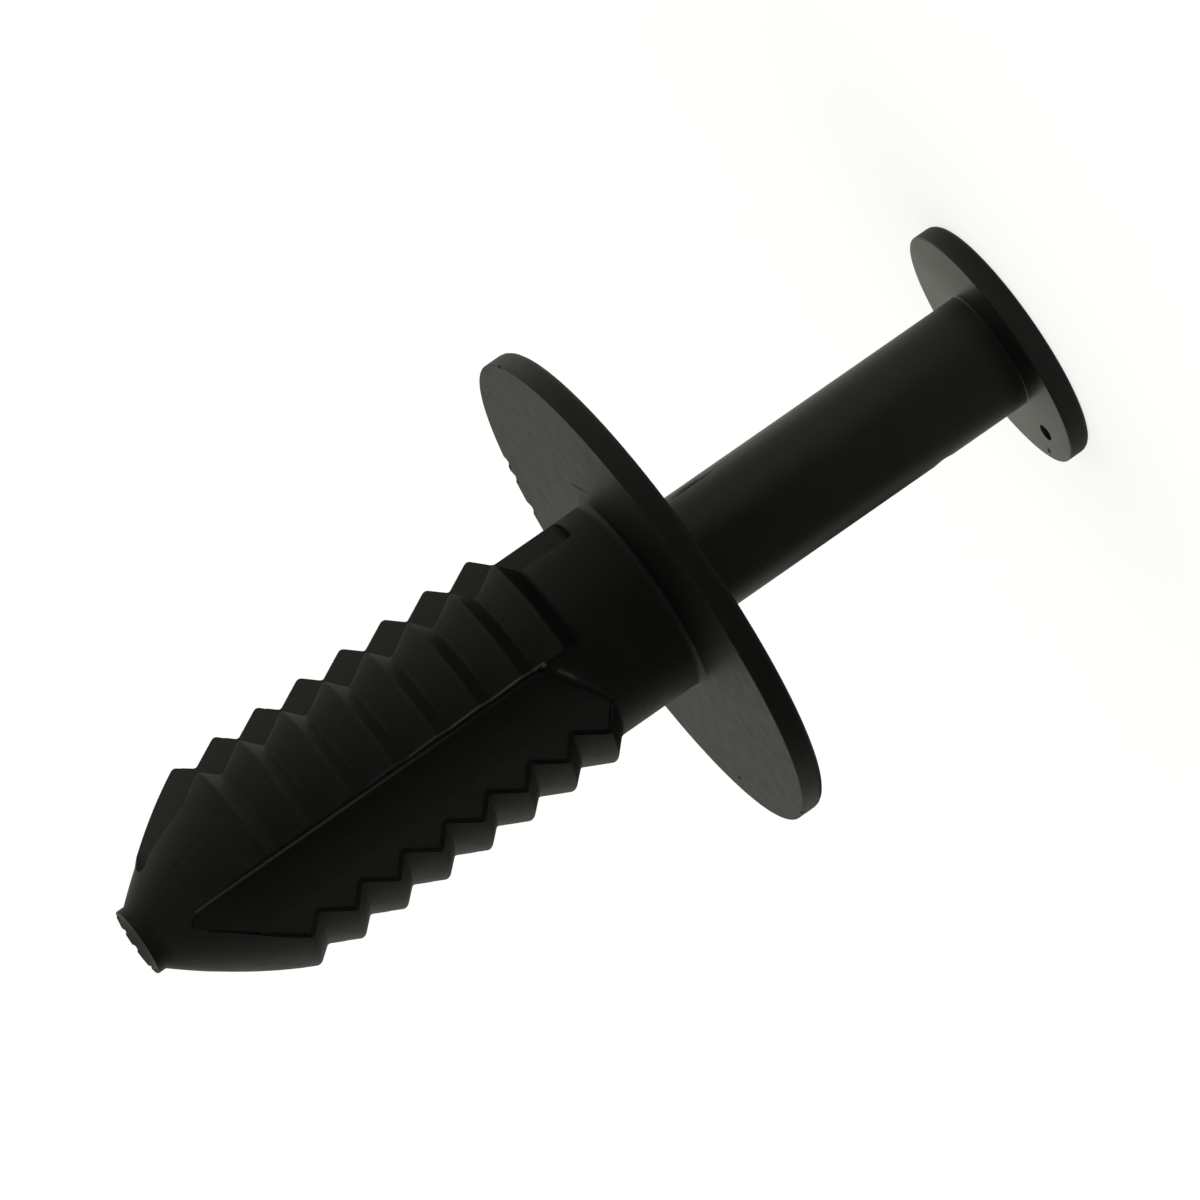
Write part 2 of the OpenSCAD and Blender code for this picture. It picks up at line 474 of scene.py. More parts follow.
@dataclass
class Sleeve:
    """The barbed sleeve: flange, collar, barbed halves and nose. Sizes are in mm, angles in degrees."""

    finish: MouldedPlastic
    # Flange and collar
    flange_t: float = 1.0
    flange_rim: float = 0.3
    seat_edge: float = 0.06
    seat_fillet: float = 0.25
    collar_r: float = 3.875
    collar_l: float = 3.6
    # Barbs, with the rear half's staggered, and the mould's parting line
    tooth_count: int = 8
    tooth_pitch: float = 1.88
    crest_r: float = 4.55
    root_r: float = 3.95
    return_l: float = 0.66
    crest_rounding: float = 0.12
    root_rounding: float = 0.14
    stagger: float = 0.32
    parting_azimuth: float = 29.0
    parting_depth: float = 0.015
    parting_seat_gap: float = 1.0
    # Nose, with its dished end
    nose_base_r: float = 4.45
    nose_end_r: float = 1.35
    nose_l: float = 5.03
    nose_land: float = 0.35
    nose_bulge: float = 0.22
    nose_edge: float = 0.04
    nose_rim: float = 0.1
    nose_dish: float = 0.6
    dish_edge: float = 0.03
    # Bore, and the thickness round it that still counts as bore
    bore_r: float = 2.4
    bore_wall: float = 0.1
    bore_chamfer: float = 0.3
    bore_edge: float = 0.06
    bore_end_below_nose: float = 3.15
    bore_tip_r: float = 1.55
    bore_tip_l: float = 1.1
    # Slots between the halves
    slot_w: float = 2.28
    slot_floor: float = 0.6
    slot_tip_w: float = 1.2
    slot_taper_l: float = 2.5
    slot_corner: float = 0.3
    slot_draft: float = 26.0
    slot_nose_gap: float = 1.4
    slot_seat_gap: float = 1.2
    # Flats beside the barbed legs, and the gap in the barbs over their slanting ends
    flat_floor: float = 2.77
    flat_side: float = 0.225
    flat_draft: float = 0.08
    flat_nose_gap: float = 1.6
    flat_nose_r: float = 0.45
    flat_dip: float = 0.6
    flat_dip_l: float = 2.05
    flat_seat_gap: float = 3.5
    flat_slant_l: float = 1.6
    flat_slant_r: float = 0.4
    gap_step: float = 0.01
    gap_lap: float = 0.2
    # Sunk floors of the flats: border and depth at the leg and at the barbs, and, by its place and the
    # cosines of its direction, what counts as floor
    flat_border: float = 0.09
    flat_sink: float = 0.05
    barb_border: float = 0.11
    barb_sink: float = 0.17
    barb_edge_in: float = 0.2
    sink_fade: float = 0.6
    floor_slack: float = 0.01
    floor_facing: float = 0.7
    floor_lean: float = 0.01
    # Eased edges: radius, and where along the sleeve they grow and run out
    skin_depth: float = 0.6
    leg_edge: float = 0.09
    leg_grow: float = 0.6
    leg_taper: float = 0.8
    slant_edge: float = 0.35
    slant_grow: Pair = (0.1, 0.9)
    slant_margin: float = 0.1
    slot_edge: float = 0.06
    slot_grow: float = 0.5
    slot_runout: float = 1.0
    # Bead at the collar end of the near leg's edge, and the reach of its painted highlight
    bead_r: float = 0.11
    bead_seat_gap: float = 5.13
    bead_highlight_r: float = 0.121
    # Nicks, scallops and marks
    rim_nicks: tuple[float, ...] = (5.6, -15.3, -171.5, 128.0)
    rim_nick: Triple = (0.08, 0.14, 0.1)
    rim_scallops: tuple[float, ...] = (47.0, 51.5, 60.5, 72.0, 83.0)
    rim_scallop: Triple = (0.5, 0.3, 0.09)
    nose_nicks: tuple[float, ...] = (20.0, 62.0, 95.0, 140.0, 175.0)
    nose_nick: Triple = (0.3, 0.16, 0.07)
    scratch_at: Pair = (4.42, -1.9)
    scratch: Triple = (0.05, 1.15, 0.05)
    scratch_turn: float = -20.7
    speck_at: Pair = (-7.64, 4.75)
    speck: Triple = (0.1, 0.35, 0.05)
    # Painted light, from 0 to 1, and where it starts and ends: painted highlights on the bead, edges, crests
    # and lines, and painted lifting of shade on the slot walls, barb undersides, slanting ends and flats
    slot_painted_light: float = 0.55
    wall_painted_highlight: float = 0.27
    wall_span: float = 0.2
    crest_painted_highlight: float = 0.06
    crest_span: float = 0.06
    underside_painted_light: Pair = (0.1, 0.13)
    slant_painted_light: float = 0.28
    floor_painted_light: float = 0.14
    floor_light_start: float = 1.0
    tip_painted_highlight: float = 0.3
    line_painted_highlight: float = 0.85
    line_loss: float = 0.85
    line_fade: Pair = (0.45, 0.8)
    leg_highlight: Pair = (0.42, 0.75)
    glint_seat_gap: float = 4.6
    glint_painted_light: float = 0.45
    glint_fade: Pair = (0.3, 0.2)
    glint_share: float = 0.4
    # Fineness of the mesh, and the angle from which an edge is shaded sharp
    columns: int = 256
    corner_segments: int = 4
    nose_steps: int = 12
    bend_steps: int = 12
    flat_steps: int = 24
    cross_steps: int = 8
    sharp_angle: float = 40.0
    # Overall sizes, from the frame
    flange_r: float = field(init=False)
    seat_z: float = field(init=False)
    nose_z: float = field(init=False)

    def __post_init__(self) -> None:
        """Take the overall sizes from the CAD node."""
        low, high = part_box("rivet_body")
        self.flange_r = high.x / MM
        self.seat_z = low.z / MM + self.flange_t
        self.nose_z = high.z / MM

    @property
    def first_crest(self) -> float:
        """Height of the barb nearest the flange."""
        return self.seat_z + self.collar_l + self.return_l

    @property
    def last_crest(self) -> float:
        """Height of the barb nearest the nose."""
        return self.first_crest + (self.tooth_count - 1) * self.tooth_pitch

    @property
    def skin_r(self) -> float:
        """Radius beyond which a point belongs to the outer skin and not to the bore."""
        return self.bore_r + self.bore_wall

    @property
    def cut_reach(self) -> float:
        """How far from the axis cutters reach."""
        return self.crest_r + CLEAR

    @property
    def slot_bend(self) -> float:
        """Height where a slot starts to narrow."""
        return self.nose_z - self.slot_nose_gap - self.slot_taper_l

    @property
    def flat_low(self) -> float:
        """Height of a flat's end at the collar."""
        return self.seat_z + self.flat_seat_gap

    @property
    def flat_high(self) -> float:
        """Height of a flat's end at the nose."""
        return self.nose_z - self.flat_nose_gap

    @property
    def flat_runout(self) -> float:
        """Distance from the axis at which a flat runs out of the collar."""
        return math.sqrt(self.collar_r**2 - self.flat_floor**2)

    @property
    def slant_start(self) -> Vector:
        """Where a flat's slanting end leaves the leg."""
        return Vector((-self.flat_side, -self.flat_floor, self.flat_low + self.flat_slant_l))

    @property
    def into_collar(self) -> Vector:
        """Direction square to a flat's slanting end, towards the flange."""
        return Vector((self.flat_slant_l, 0.0, self.flat_side - self.flat_runout)).normalized()

    @property
    def bead_place(self) -> Vector:
        """Middle of the small bead at the collar end of the leg's edge."""
        down = (self.bead_seat_gap - self.collar_l - self.return_l) / (self.tooth_pitch - self.return_l)
        radius = self.crest_r + down * (self.root_r - self.crest_r)
        wall = -self.flat_side + self.flat_draft * (radius - self.flat_floor)
        return Vector((wall, -radius, self.seat_z + self.bead_seat_gap))

    def nose_share(self, z: float) -> float:
        """Return how far a height lies from the nose's land to the nearest barb, as a share of the way."""
        return (self.nose_z - self.nose_land - z) / (self.nose_l - self.nose_land)

    def nose_r(self, share: float) -> float:
        """Return the nose's radius at a share of that way: a cone with a bulge that is full halfway."""
        straight = self.nose_end_r + share * (self.nose_base_r - self.nose_end_r)
        return straight + 4.0 * self.nose_bulge * share * (1.0 - share)

    def outer_r(self, z: float) -> float:
        """Return the radius over the barbs at a height, or the nose's radius beyond them."""
        share = self.nose_share(z)
        return self.crest_r if share > 1.0 else self.nose_r(max(0.0, share))

    def outline(self) -> list[Corner]:
        """Work out the sleeve's turned outline.

        Returns:
            The corners from the bore's end, round the flange and up over the barbs to the nose.
        """
        bottom = self.seat_z - self.flange_t
        bore_end = self.nose_z - self.bore_end_below_nose
        corners = [
            Corner(0.0, bore_end),
            Corner(self.bore_tip_r, bore_end),
            Corner(self.bore_r, bore_end - self.bore_tip_l),
            Corner(self.bore_r, bottom + self.bore_chamfer),
            Corner(self.bore_r + self.bore_chamfer, bottom, self.bore_edge),
            Corner(self.flange_r, bottom, self.flange_rim),
            Corner(self.flange_r, self.seat_z, self.seat_edge),
            Corner(self.collar_r, self.seat_z, self.seat_fillet),
            Corner(self.collar_r, self.seat_z + self.collar_l, self.root_rounding),
        ]
        for i in range(self.tooth_count - 1):
            crest_z = self.first_crest + i * self.tooth_pitch
            root_z = crest_z + self.tooth_pitch - self.return_l
            corners.append(Corner(self.crest_r, crest_z, self.crest_rounding))
            corners.append(Corner(self.root_r, root_z, self.root_rounding))
        corners.append(Corner(self.nose_base_r, self.last_crest, self.crest_rounding))
        run = self.nose_l - self.nose_land
        for i in reversed(range(self.nose_steps)):
            share = i / self.nose_steps
            corners.append(Corner(self.nose_r(share), self.nose_z - self.nose_land - run * share))
        corners.append(Corner(self.nose_end_r, self.nose_z, self.nose_edge))
        corners.append(Corner(self.nose_end_r - self.nose_rim, self.nose_z, self.dish_edge))
        corners.append(Corner(0.0, self.nose_z - self.nose_dish))
        return corners

    def stagger_rear_barbs(self, bm: bmesh.types.BMesh) -> None:
        """Shift the rear half's barbs towards the nose, with the step in the middle of the slots.

        Args:
            bm: The turned sleeve, in mm.
        """
        seam = math.asin(self.slot_w / 2.0 / self.crest_r)
        collar_middle = self.seat_z + self.collar_l / 2.0
        for vert in bm.verts:
            rear = math.sin(math.atan2(vert.co.y, vert.co.x) + seam) > 0.0
            outside = math.hypot(vert.co.x, vert.co.y) > self.skin_r
            if rear and outside and vert.co.z > collar_middle:
                vert.co.z += self.stagger * min(1.0, max(0.0, self.nose_share(vert.co.z)))

    def press_parting_line(self, bm: bmesh.types.BMesh) -> None:
        """Press the mould's faint parting line into the barbs and the nose, on both sides.

        Args:
            bm: The turned sleeve, in mm.
        """
        half_column = math.tau / self.columns / 2.0
        start = math.radians(self.parting_azimuth - 90.0)
        for vert in bm.verts:
            radius = math.hypot(vert.co.x, vert.co.y)
            azimuth = math.atan2(vert.co.y, vert.co.x)
            off = (azimuth - start + math.pi / 2.0) % math.pi - math.pi / 2.0
            outside = radius > self.skin_r and vert.co.z > self.seat_z + self.parting_seat_gap
            if outside and abs(off) < half_column:
                vert.co.xy *= 1.0 - self.parting_depth / radius

    def slot_cutter(self, turn: float) -> bpy.types.Object:
        """Make the wedge that parts the two halves: straight beside the barbs and narrower in the nose.

        Args:
            turn: How far round the axis the slot sits, in radians.

        Returns:
            The cutter, as an object.
        """
        low = self.seat_z + self.slot_seat_gap
        top = self.nose_z - self.slot_nose_gap
        bend = self.slot_bend
        tip_r = self.slot_tip_w / 2.0
        rise = [self.last_crest + (top - tip_r - self.last_crest) * i / self.bend_steps
                for i in range(self.bend_steps)]
        shape = [(0.0, low), *((0.0, z) for z in rise), (0.0, top), (-self.slot_tip_w, top),
                 (-self.slot_tip_w, top - tip_r), (-self.slot_w, bend), (-self.slot_w, low)]
        bm = prism([Vector((self.slot_floor, y, z)) for y, z in shape], Vector((self.cut_reach, 0.0, 0.0)))
        nearly_half = tip_r - HAIR
        round_edges(bm, 0, {(0.0, 0.0, top): nearly_half, (0.0, -self.slot_tip_w, top): nearly_half,
                            (0.0, 0.0, low): self.slot_corner, (0.0, -self.slot_w, low): self.slot_corner})
        lean = math.tan(math.radians(self.slot_draft))
        for vert in bm.verts:
            width = self.slot_w if vert.co.z < bend else self.slot_tip_w
            from_leg = 1.0 + vert.co.y / width
            vert.co.y += lean * (vert.co.x - self.outer_r(vert.co.z)) * max(0.0, from_leg)
        bmesh.ops.triangulate(bm, faces=bm.faces[:])
        turn_about_axis(bm, turn)
        return make_object("slot_cutter", bm)

    def flat_section(self) -> list[Vector]:
        """Work out a flat's section along the sleeve.

        Returns:
            Points that are level beside the barbs and bend in at the nose.
        """
        low = self.flat_low - CLEAR
        high = self.flat_high
        bend = high - self.flat_dip_l
        shares = [i / self.bend_steps for i in range(self.bend_steps + 1)]
        points = [(self.flat_floor, low)]
        points += [(self.flat_floor - self.flat_dip * t**2, bend + self.flat_dip_l * t) for t in shares]
        points.append((self.flat_floor - self.flat_dip, high + CLEAR))
        points += [(self.cut_reach, high + CLEAR), (self.cut_reach, low)]
        return [Vector((CLEAR, -y, z)) for y, z in points]

    def flat_cutter(self, turn: float) -> bpy.types.Object:
        """Make the shape that leaves the smooth flat beside a barbed leg.

        Args:
            turn: How far round the axis the flat sits, in radians.

        Returns:
            The cutter, as an object.
        """
        low, high = self.flat_low, self.flat_high
        reach = self.cut_reach
        runout = self.flat_runout - self.flat_side
        slant = low + self.flat_slant_l
        plan = [(0.0, slant), (0.0, high), (-reach, high), (-reach, low), (-runout, low)]
        bm = prism([Vector((x, 0.0, z)) for x, z in plan], Vector((0.0, -reach - CLEAR, 0.0)))
        round_edges(bm, 1, {(0.0, 0.0, slant): self.flat_slant_r, (0.0, 0.0, high): self.flat_nose_r})
        for vert in bm.verts:
            vert.co.x += -self.flat_side + self.flat_draft * (-vert.co.y - self.flat_floor)
        section = prism(self.flat_section(), Vector((-reach - 3.0 * CLEAR, 0.0, 0.0)))
        for shape in (bm, section):
            turn_about_axis(shape, turn)
        cutter = make_object("flat_cutter", bm)
        combine(cutter, [make_object("flat_section", section)], Combine.KEEP_SHARED)
        return cutter

    def barb_gap_cutter(self, turn: float) -> bpy.types.Object:
        """Make the shape that leaves the barbs off between the collar and a flat's slanting end.

        Args:
            turn: How far round the axis the flat sits, in radians.

        Returns:
            The cutter, as an object.
        """
        low, reach = self.flat_low, self.cut_reach
        lean = self.flat_draft * (reach - self.flat_floor)
        plan = [(-self.flat_side, -self.flat_floor), (-self.flat_side + lean, -reach),
                (-self.flat_runout, -reach), (-self.flat_runout, -self.flat_floor)]
        height = self.flat_slant_l + self.gap_lap
        bm = prism([Vector((x, y, low)) for x, y in plan], Vector((0.0, 0.0, height)))
        turn_about_axis(bm, turn)
        cutter = make_object("barb_gap_cutter", bm)
        core = bmesh.new()
        core_r = self.collar_r + self.gap_step
        foot, top = low - CLEAR, low + 4.0 * CLEAR
        ends = [Corner(0.0, foot), Corner(core_r, foot), Corner(core_r, top), Corner(0.0, top)]
        turned_mesh(core, ends, self.columns, self.corner_segments)
        combine(cutter, [make_object("collar_core", core)], Combine.CUT_AWAY)
        return cutter

    def flat_faces(self, bm: bmesh.types.BMesh) -> list[bmesh.types.BMFace]:
        """Find the faces of one flat's floor.

        Args:
            bm: The sleeve's mesh after its cuts, in mm.

        Returns:
            The faces.
        """
        deepest = self.flat_floor - self.flat_dip - self.floor_slack
        highest = self.flat_floor + self.floor_slack
        floor = []
        for face in bm.faces:
            if -face.normal.y < self.floor_facing or abs(face.normal.x) > self.floor_lean:
                continue
            middle = face.calc_center_median()
            beside_leg = middle.x < -self.flat_side and self.flat_low < middle.z < self.flat_high
            if beside_leg and deepest < -middle.y < highest:
                floor.append(face)
        return floor

    def sink_flat(self, bm: bmesh.types.BMesh) -> None:
        """Sink one flat's floor a little, with a sloping border where two parts of the mould met.

        Args:
            bm: The sleeve's mesh after its cuts, in mm.
        """
        low, high = self.flat_low, self.flat_high
        bm.normal_update()
        along = [i / self.flat_steps for i in range(1, self.flat_steps)]
        across = [i / self.cross_steps for i in range(self.cross_steps // 4, self.cross_steps)]
        cuts = [(UP, UP * (low + (high - low) * t)) for t in along]
        for t in across:
            place = Vector((self.barb_edge_in - self.flat_runout * t, 0.0, 0.0))
            cuts.append((Vector((1.0, 0.0, 0.0)), place))
        for square, place in cuts:
            split_faces(bm, self.flat_faces(bm), square, place)
        floor = self.flat_faces(bm)
        rim = set(bmesh.ops.inset_region(bm, faces=floor, thickness=self.flat_border, depth=0.0,
                                         use_boundary=True, use_even_offset=True)["faces"])
        for vert in {v for f in floor for v in f.verts}:
            towards_barbs = fade(-vert.co.x, self.flat_side, self.flat_runout)
            from_slant = (self.slant_start - vert.co).dot(self.into_collar)
            sink = self.flat_sink + towards_barbs * (self.barb_sink - self.flat_sink)
            vert.co.y += sink * fade(from_slant, self.flat_border, self.sink_fade)
            at_barbs = vert.co.x < self.barb_edge_in - self.flat_runout
            if at_barbs and any(f in rim for f in vert.link_faces):
                vert.co.x += self.barb_border
        self.paint_flat_light(bm, floor, rim)

    def paint_flat_light(self, bm: bmesh.types.BMesh, floor: Iterable[bmesh.types.BMFace],
                   rim: Iterable[bmesh.types.BMFace]) -> None:
        """Paint light into one flat's floor and border: painted shade from the leg's wall, and painted
        highlights along the border.

        Args:
            bm: The sleeve's mesh, in mm.
            floor: The floor's faces.
            rim: The border's faces.
        """
        painted_light = bm.faces.layers.float[PAINTED_LIGHT]
        # Painted shade from the leg's wall: the floor is left dark near the wall and painted paler towards
        # the barbs
        for face in floor:
            across = -face.calc_center_median().x
            face[painted_light] = self.floor_painted_light * fade(across, self.floor_light_start, self.flat_runout)
        for face in rim:
            middle = face.calc_center_median()
            # Painted highlight on the border round the flat's nose end
            if middle.z > self.flat_high - self.flat_nose_r:
                face[painted_light] = self.tip_painted_highlight
            # Painted highlight line along the border beside the leg, fading towards the slanting end
            elif middle.x > -self.flat_side - 2.0 * self.flat_border:
                down = fade(middle.z, self.flat_high, self.flat_low + self.flat_slant_l)
                face[painted_light] = self.line_painted_highlight * (1.0 - self.line_loss * fade(down, *self.line_fade))

    def painted_light_level(self, face: bmesh.types.BMFace) -> float:
        """Work out the light painted into a face: highlights on the bead, a leg's wall and the crests,
        lifted shade on a slot's wall, the barbs' undersides and a flat's end.

        Args:
            face: A face of the sleeve, in mm.

        Returns:
            From 0 for plain plastic to 1 for the brightest painted highlight.
        """
        middle, normal = face.calc_center_median_weighted(), face.normal
        radius = middle.xy.length
        outward = normal.dot(radial(middle))
        # Painted highlight on the bead
        if (middle - self.bead_place).length < self.bead_highlight_r:
            return 1.0
        lean = math.radians(self.slot_draft)
        slot_wall = Vector((math.sin(lean), -math.cos(lean), 0.0))
        in_slot = middle.z > self.seat_z + self.slot_seat_gap and middle.x > self.slot_floor
        upright = abs(normal.z) < PARTLY and outward < STRAIGHT
        # Painted light on the slot's rear wall, lifting its shade
        if in_slot and upright and normal.dot(slot_wall) > MOSTLY:
            return self.slot_painted_light
        if radius < self.skin_r:
            return 0.0
        above_floor = middle.y < -self.flat_floor
        # Painted highlight along the leg's drafted wall
        if normal.x < -STRAIGHT and abs(middle.x + self.flat_side) < self.wall_span and above_floor:
            return self.wall_painted_highlight
        if self.seat_z + self.collar_l < middle.z < self.last_crest + self.stagger:
            # Painted highlight along the barbs' crests
            if radius > self.crest_r - self.crest_span:
                return self.crest_painted_highlight
            # Painted light on the barbs' undersides, lifting their shade, a little stronger towards the nose
            if outward > PARTLY and normal.z < -PARTLY:
                up = fade(middle.z, self.first_crest, self.last_crest)
                return self.underside_painted_light[0] * (1.0 - up) + self.underside_painted_light[1] * up
        # Painted light on the flat's slanting end wall, lifting its shade
        if normal.dot(self.into_collar) < -STRAIGHT and above_floor:
            return self.slant_painted_light
        return 0.0

    def paint_light_into_faces(self, bm: bmesh.types.BMesh) -> None:
        """Paint light into the faces of one half: painted highlights and lifted shade.

        Args:
            bm: The sleeve's mesh after its cuts, in mm.
        """
        painted_light = bm.faces.layers.float[PAINTED_LIGHT]
        for face in bm.faces:
            face[painted_light] = max(face[painted_light], self.painted_light_level(face))

    def is_outside(self, middle: Vector, normal: Vector) -> bool:
        """Tell whether a face belongs to the outer skin above the collar."""
        far_out = middle.xy.length > self.collar_r - self.skin_depth
        return far_out and normal.dot(radial(middle)) > A_LITTLE and middle.z > self.flat_low

    def eased_leg(self) -> EasedEdge:
        """Work out the rounding of one leg's top edge, with a painted highlight towards the bead.

        Returns:
            The edge.
        """
        high = self.flat_high
        length = high - self.flat_low
        slant_top = self.flat_low + self.flat_slant_l
        bead_z = self.bead_place.z

        def share(z: float) -> float:
            """Return how much of its full radius the edge has at a height."""
            grown = fade(z, slant_top, slant_top + self.leg_grow)
            return grown * fade(z, high, high - self.leg_taper * length)

        def painted_light_level(z: float) -> float:
            """Return how bright the edge's painted highlight is at a height."""
            start, full = (high - part * length for part in self.leg_highlight)
            return fade(z, start, full) * (z > bead_z)

        return EasedEdge(
            on_plane=Vector((-self.flat_side, -self.flat_floor, 0.0)),
            into_surface=Vector((1.0, self.flat_draft, 0.0)).normalized(),
            push=INWARD,
            widest=self.leg_edge,
            share=share,
            chosen=lambda middle, normal: self.is_outside(middle, normal) and middle.y < 0.0,
            painted_light_level=painted_light_level,
            painted_light_end=bead_z,
        )

    def eased_slant(self) -> EasedEdge:
        """Work out the rounding of one flat's slanting end, with a small painted glint on it.

        Returns:
            The edge.
        """
        low = self.flat_low
        glint_z = self.seat_z + self.glint_seat_gap

        def beside_slant(middle: Vector, normal: Vector) -> bool:
            """Tell whether a face lies on the collar beside the slanting end."""
            across = -self.flat_runout - self.slant_margin < middle.x < -self.flat_side - self.flat_slant_r
            level = low - CLEAR < middle.z < low + self.flat_slant_l
            return across and level and middle.y < 0.0 and normal.dot(radial(middle)) > STRAIGHT

        return EasedEdge(
            on_plane=self.slant_start,
            into_surface=self.into_collar,
            push=INWARD,
            widest=self.slant_edge,
            share=lambda z: fade(z, low + self.slant_grow[0], low + self.slant_grow[1]),
            chosen=beside_slant,
            # Painted glint on the slant's rounded edge, strongest near its height
            painted_light_level=lambda z: self.glint_painted_light * fade(abs(z - glint_z), *self.glint_fade),
            painted_light_share=self.glint_share,
        )

    def eased_slot(self) -> list[EasedEdge]:
        """Work out the rounding of one slot's two edges.

        Returns:
            The edge beside the leg and the one across the slot.
        """
        low, bend = self.flat_low, self.slot_bend
        leg_turn = math.asin(self.slot_w / self.crest_r)
        at_leg = Vector((0.0, -self.slot_w, 0.0))
        leg_push = Vector((-math.cos(leg_turn), math.sin(leg_turn), 0.0))
        sides = [(at_leg, -INWARD, leg_push), (Vector(), INWARD, Vector((-1.0, 0.0, 0.0)))]

        def share(z: float) -> float:
            """Return how much of its full radius an edge has at a height."""
            return fade(z, low, low + self.slot_grow) * fade(z, bend, bend - self.slot_runout)

        def chosen(middle: Vector, normal: Vector) -> bool:
            """Tell whether a face lies outside, on this slot's side of the sleeve."""
            return self.is_outside(middle, normal) and middle.x > self.bore_r

        return [EasedEdge(place, into, push, self.slot_edge, share, chosen) for place, into, push in sides]

    def ease_edges(self, piece: bpy.types.Object) -> None:
        """Round the long edges beside the flats and the slots, sink the flats and paint light into faces as
        highlights and lifted shade.

        Args:
            piece: The sleeve, after its cuts.
        """
        bm = bmesh.new()
        bm.from_mesh(piece.data)
        bmesh.ops.scale(bm, vec=(1.0 / MM, 1.0 / MM, 1.0 / MM), verts=bm.verts[:])
        clean_cuts(bm)
        bm.faces.layers.float.new(PAINTED_LIGHT)
        for _ in range(2):
            bm.normal_update()
            self.paint_light_into_faces(bm)
            for edge in (self.eased_leg(), self.eased_slant(), *self.eased_slot()):
                bm.normal_update()
                edge.apply(bm)
            self.sink_flat(bm)
            turn_about_axis(bm, math.pi)
        bmesh.ops.scale(bm, vec=(MM, MM, MM), verts=bm.verts[:])
        bm.to_mesh(piece.data)
        bm.free()

    def bumps(self) -> list[Blemish]:
        """List the small bead that the mould leaves at the collar end of the near leg's edge."""
        return [Blemish(tuple(self.bead_place), (self.bead_r, self.bead_r, self.bead_r))]

    def dents(self) -> list[Blemish]:
        """List the nicks in the flange's rim, the marks on its face and the rough edge of the nose's end.

        Returns:
            The shapes to cut away.
        """
        return [
            *ring_of_blemishes(self.flange_r, self.seat_z, self.rim_nick, self.rim_nicks),
            *ring_of_blemishes(self.flange_r, self.seat_z, self.rim_scallop, self.rim_scallops),
            *ring_of_blemishes(self.nose_end_r, self.nose_z, self.nose_nick, self.nose_nicks),
            Blemish((*self.scratch_at, self.seat_z), self.scratch, self.scratch_turn),
            Blemish((*self.speck_at, self.seat_z), self.speck),
        ]

    def build(self) -> bpy.types.Object:
        """Model the sleeve and dress it.

        Returns:
            The finished piece, riding on the sleeve's body.
        """
        bm = bmesh.new()
        turned_mesh(bm, self.outline(), self.columns, self.corner_segments)
        self.press_parting_line(bm)
        self.stagger_rear_barbs(bm)
        piece = make_object("sleeve_moulding", bm)
        makers = (self.slot_cutter, self.flat_cutter, self.barb_gap_cutter)
        cutters = [make(turn) for turn in (0.0, math.pi) for make in makers]
        combine(piece, cutters, Combine.CUT_AWAY)
        combine(piece, [dent.build() for dent in self.dents()], Combine.CUT_AWAY)
        combine(piece, [bump.build() for bump in self.bumps()], Combine.ADD)
        self.ease_edges(piece)
        smooth_shade(piece, self.sharp_angle)
        piece.data.materials.clear()
        piece.data.materials.append(self.finish.build())
        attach(piece, Body.SLEEVE.value)
        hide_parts("rivet_body")
        return piece


